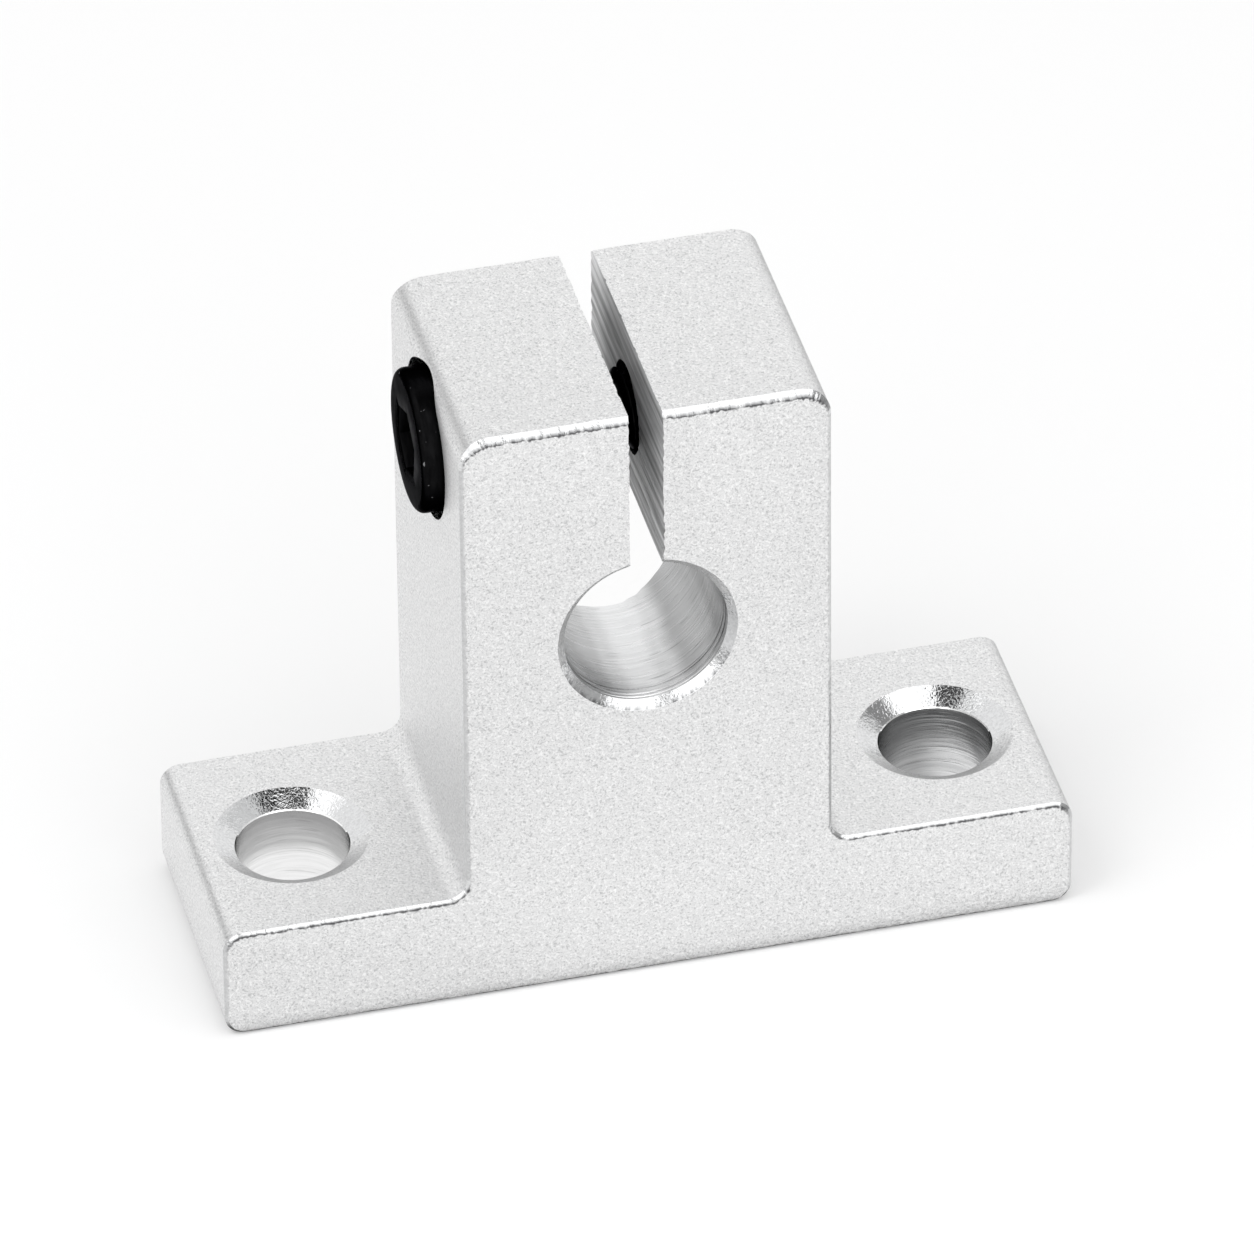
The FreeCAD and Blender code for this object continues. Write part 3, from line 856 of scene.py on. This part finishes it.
drill_end = face_x + socket_depth + drill_radius / math.tan(math.radians(drill_point / 2))
head_rows = [
    np.array([[drill_end, 0.0, screw_height]]),
    head_row(face_x + socket_depth + 0.4, 0.5 * drill_radius),
    head_row(face_x + socket_depth, drill_radius),
    head_row(face_x + socket_depth, hexagon - 0.03),
    head_row(face_x + socket_depth - 0.03, hexagon),
    head_row(face_x + 1.0, hexagon),
    head_row(face_x + 0.10, hexagon),
    head_row(face_x + 0.03, hexagon + 0.03),
    head_row(face_x, hexagon + 0.09),
    head_row(face_x, face_ring_radius),
]
for share in np.linspace(0, 1, 9):
    bend = share * math.pi / 2
    along = face_x + head_rim * (1 - math.cos(bend))
    head_rows.append(head_row(along, head_radius - head_rim + head_rim * math.sin(bend)))
for below_face in (1.2, 2.2, 3.2):
    head_rows.append(head_row(face_x + below_face, head_radius))
for share in np.linspace(0, 1, 5):
    bend = share * math.pi / 2
    along = seat_x - head_root * (1 - math.sin(bend))
    head_rows.append(head_row(along, head_radius - head_root * (1 - math.cos(bend))))
head_rows.append(head_row(seat_x, seat_ring_radius))
head_rows.append(np.array([[seat_x, 0.0, screw_height]]))
screw = skin("clamp_screw_body", head_rows, [black_oxide])
shank = make_thread("shank", seat_x - 0.4, screw_tip_x, screw_height, black_oxide, Point=0.4 * MM)
joining = screw.modifiers.new("join", "BOOLEAN")
joining.operation = "UNION"
joining.solver = "EXACT"
joining.object = shank
settle(screw, joining)
bpy.data.objects.remove(shank)
set_shading(screw, 30)
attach(screw, "screw")
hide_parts("clamp_screw")

# The studio: a white floor that keeps the soft shadow, an even white surround and six soft lamps.
# Dark and grey cards, which only the metal mirrors, give the bright cuts their dark parts.
stage_collection = bpy.context.scene.collection
pure_white = (1.0, 1.0, 1.0, 1.0)


def sheet(name, corners, material):
    mesh = bpy.data.meshes.new(name)
    mesh.from_pydata(corners, [], [(0, 1, 2, 3)])
    mesh.materials.append(material)
    made = bpy.data.objects.new(name, mesh)
    stage_collection.objects.link(made)
    return made


def swap_for(tree, shader, other, *rays):
    """The plain shader, but the other one for the named kinds of ray."""
    path = put(tree, "ShaderNodeLightPath")
    seen = path.outputs[rays[0]]
    for ray in rays[1:]:
        seen = maths(tree, "MAXIMUM", seen, path.outputs[ray])
    return put(tree, "ShaderNodeMixShader", {0: seen, 1: shader, 2: other}).outputs[0]


floor_white = bpy.data.materials.new("floor_white")
floor_white.use_nodes = True
tree = floor_white.node_tree
shader = tree.nodes["Principled BSDF"]
shader.inputs["Base Color"].default_value = (0.82, 0.82, 0.82, 1.0)
shader.inputs["Roughness"].default_value = 1.0
shader.inputs["Specular IOR Level"].default_value = 0.0
glow = put(tree, "ShaderNodeEmission", {"Color": pure_white, "Strength": 0.10})
shadowed = put(tree, "ShaderNodeAddShader", {0: shader.outputs[0], 1: glow.outputs[0]})
lit = put(tree, "ShaderNodeBsdfDiffuse", {"Color": (0.9, 0.9, 0.9, 1.0)})
paper = swap_for(tree, lit.outputs[0], shadowed.outputs[0], "Is Camera Ray")

# In the metal the floor is mirrored as even white, but for a thin painted shadow round the block's base
here = put(tree, "ShaderNodeTexCoord").outputs["Object"]
spot = put(tree, "ShaderNodeSeparateXYZ", {0: here}).outputs
beyond_end = maths(tree, "SUBTRACT", maths(tree, "ABSOLUTE", spot["X"]), half_base * MM)
beyond_face = maths(tree, "SUBTRACT", maths(tree, "ABSOLUTE", spot["Y"]), half_depth * MM)
beyond = maths(tree, "MAXIMUM", beyond_end, beyond_face)
from_edge = maths(tree, "ABSOLUTE", sum_of(tree, beyond, 0.0003))
out_of_painted_shadow = stretch(tree, from_edge, 0.0002, 0.0010, 0.12, 1.0)
even = put(tree, "ShaderNodeEmission", {"Color": pure_white, "Strength": out_of_painted_shadow})
paper = swap_for(tree, paper, even.outputs[0], "Is Glossy Ray", "Is Transmission Ray")
tree.links.new(paper, tree.nodes["Material Output"].inputs["Surface"])
reach, low = 3.0, -2e-5
floor_corners = [(-reach, -reach, low), (reach, -reach, low), (reach, reach, low), (-reach, reach, low)]
sheet("floor", floor_corners, floor_white)


def put_card(name, corners, grey):
    """A card that only the metal's reflections see."""
    material = bpy.data.materials.new(name)
    material.use_nodes = True
    paper = material.node_tree.nodes["Principled BSDF"]
    paper.inputs["Base Color"].default_value = (grey, grey, grey, 1.0)
    paper.inputs["Roughness"].default_value = 1.0
    card = sheet(name, corners, material)
    card.visible_camera = False
    card.visible_diffuse = False
    card.visible_transmission = False
    card.visible_shadow = False


def put_wall_card(name, start, end, height, grey):
    """A card that stands on the floor between two places."""
    low, high = [(*start, 0.0), (*end, 0.0)], [(*end, height), (*start, height)]
    put_card(name, low + high, grey)


def put_flat_card(name, left_end, right_end, front_end, back_end, height, grey):
    """A card that lies level over the object."""
    corners = [(left_end, front_end), (right_end, front_end), (right_end, back_end), (left_end, back_end)]
    put_card(name, [(*corner, height) for corner in corners], grey)


put_flat_card("card_overhead", -0.038, 0.014, -0.014, 0.022, 0.100, 0.05)
put_flat_card("card_over_right", 0.062, 0.110, -0.005, 0.045, 0.070, 0.30)
put_flat_card("card_low_right", 0.060, 0.400, -0.250, 0.050, 0.0005, 0.45)
card_reach = 0.40
put_wall_card("card_right", (card_reach, -card_reach), (card_reach, 0.6 * card_reach), 0.26, 0.42)
put_wall_card("card_left", (-card_reach, -card_reach), (-card_reach, card_reach), 0.05, 0.40)
tilted = [(-0.060, -0.19, 0.25), (-0.022, -0.19, 0.25), (-0.022, -0.23, 0.22), (-0.060, -0.23, 0.22)]
put_card("card_between", tilted, 0.45)

surround = bpy.data.worlds.new("surround")
surround.use_nodes = True
tree = surround.node_tree
seen_white = tree.nodes["Background"]
seen_white.inputs["Color"].default_value = pure_white
seen_white.inputs["Strength"].default_value = 1.0
fill = put(tree, "ShaderNodeBackground", {"Color": pure_white, "Strength": 0.70})
sky = swap_for(
    tree, fill.outputs[0], seen_white.outputs[0], "Is Camera Ray", "Is Glossy Ray", "Is Transmission Ray"
)
tree.links.new(sky, tree.nodes["World Output"].inputs["Surface"])
bpy.context.scene.world = surround
lamp_aim = Vector((0.0, 0.0, 0.015))


def hang_lamp(name, toward, distance, size, radiance):
    """A square soft lamp in a direction from the object, facing its middle."""
    data = bpy.data.lights.new(name, "AREA")
    data.shape = "SQUARE"
    data.size = size
    data.energy = radiance * math.pi * size**2
    lamp = bpy.data.objects.new(name, data)
    stage_collection.objects.link(lamp)
    toward = Vector(toward).normalized()
    lamp.location = toward * distance + lamp_aim
    lamp.rotation_euler = toward.to_track_quat("Z", "Y").to_euler()
    lamp.visible_camera = False
    return lamp


hang_lamp("front_right_lamp", (0.42, -0.56, 0.715), 0.60, 0.56, 0.6)
hang_lamp("front_left_lamp", (-0.60, -0.60, 0.53), 0.60, 0.42, 0.8)
hang_lamp("low_lamp", (0.10, -0.97, 0.22), 0.60, 0.40, 1.2)
hang_lamp("top_right_lamp", (0.40, -0.03, 0.92), 0.50, 0.44, 0.42)
hang_lamp("top_left_lamp", (-0.38, 0.10, 0.92), 0.50, 0.20, 0.5)
side_lamp = hang_lamp("side_lamp", (-0.50, -0.15, 0.85), 0.50, 0.20, 4.2)
side_lamp.visible_glossy = False

# The camera, level with the photograph's own view: from the front, a little from the left and above,
# with a long lens
camera_azimuth, camera_elevation, camera_roll = map(math.radians, (-13.714, 36.87, -0.653))
camera_distance, camera_target, camera_lens = 0.700, Vector((0.000685, 0.0, 0.015293)), 419.38
back = Vector(
    (
        math.sin(camera_azimuth) * math.cos(camera_elevation),
        -math.cos(camera_azimuth) * math.cos(camera_elevation),
        math.sin(camera_elevation),
    )
)
level = Vector((math.cos(camera_azimuth), math.sin(camera_azimuth), 0.0))
upward = back.cross(level)
right = level * math.cos(camera_roll) + upward * math.sin(camera_roll)
upward = upward * math.cos(camera_roll) - level * math.sin(camera_roll)
camera_data = bpy.data.cameras.new("camera")
camera_data.sensor_width = 36.0
camera_data.lens = camera_lens
camera = bpy.data.objects.new("camera", camera_data)
stage_collection.objects.link(camera)
camera_turn = Matrix((right, upward, back)).transposed().to_4x4()
camera.matrix_world = Matrix.Translation(camera_target + back * camera_distance) @ camera_turn
bpy.context.scene.camera = camera
bpy.context.scene.view_settings.view_transform = "Standard"
